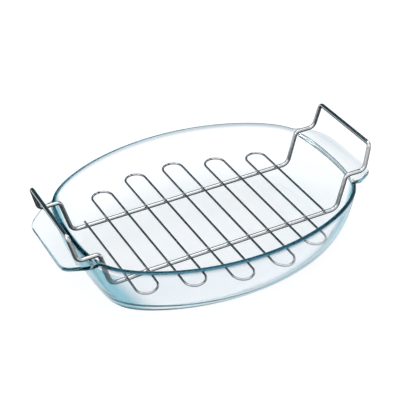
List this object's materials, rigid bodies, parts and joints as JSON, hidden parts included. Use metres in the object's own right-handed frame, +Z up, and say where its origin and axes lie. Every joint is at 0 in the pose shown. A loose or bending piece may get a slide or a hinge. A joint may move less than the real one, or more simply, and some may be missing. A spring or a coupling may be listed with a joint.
{
  "type": "oval roasting dish with wire rack",
  "caption": "Deep oval clear glass roasting dish with two pressed handles and a lift-out wire rack: a bent frame with upright grips carries a serpentine grid.",
  "frame": {"origin": "middle of the flat underside of the dish, where it stands on the oven shelf", "axes": "+X along the length towards the right-hand handle, +Y across to the back, +Z up"},
  "size_m": [0.388, 0.273, 0.107],
  "materials": {
    "clear_glass": "clear pressed glass with a faint blue edge, smooth and polished",
    "frame_wire": "bright plated steel wire",
    "grid_wire": "bright plated steel wire"
  },
  "bodies": {
    "dish": {"glass_dish": "clear_glass"},
    "rack": {"rack_frame": "frame_wire", "grid_wire": "grid_wire"}
  },
  "joints": [
    {"name": "rack_lift", "type": "slide", "parent": "dish", "child": "rack", "axis": [0, 0, 1], "range_m": [0, 0.09]}
  ]
}
